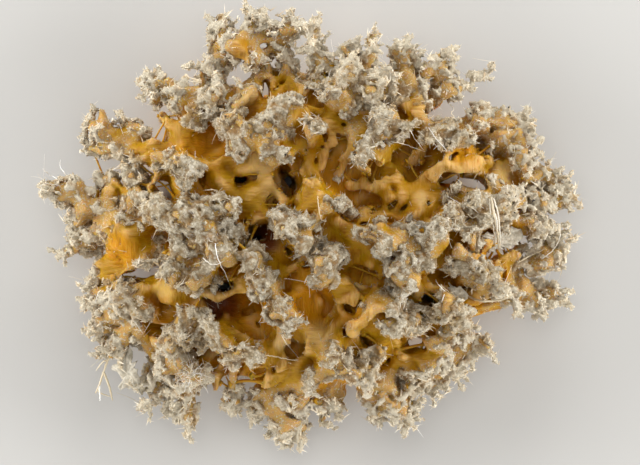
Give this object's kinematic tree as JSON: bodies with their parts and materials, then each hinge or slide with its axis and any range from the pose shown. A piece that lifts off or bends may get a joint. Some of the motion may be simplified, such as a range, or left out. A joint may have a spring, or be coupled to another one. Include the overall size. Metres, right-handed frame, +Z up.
{
  "type": "sea sponge",
  "caption": "Low clump of sea sponge: amber flesh with caves and through holes, sand-crusted knobs on top, and ragged lobes and fingers round its rim. It rests on its flat broken base.",
  "frame": {"origin": "on the flat base face, under the middle of the clump", "axes": "+X along the clump's greatest width, +Y towards the side with the tall fingers, +Z up from the base to the crown"},
  "size_m": [0.1095, 0.0901, 0.038],
  "materials": {
    "flesh": "satin, slightly translucent amber flesh with a moist sheen, darker red-brown in the caves and paler at thin edges",
    "crust": "matte, gritty crust of fine sand and shell grains, cream at the rim and greyer on top",
    "fibre": "dull off-white fibres and thin films"
  },
  "bodies": {
    "root": {"sponge": "flesh"}
  },
  "joints": []
}
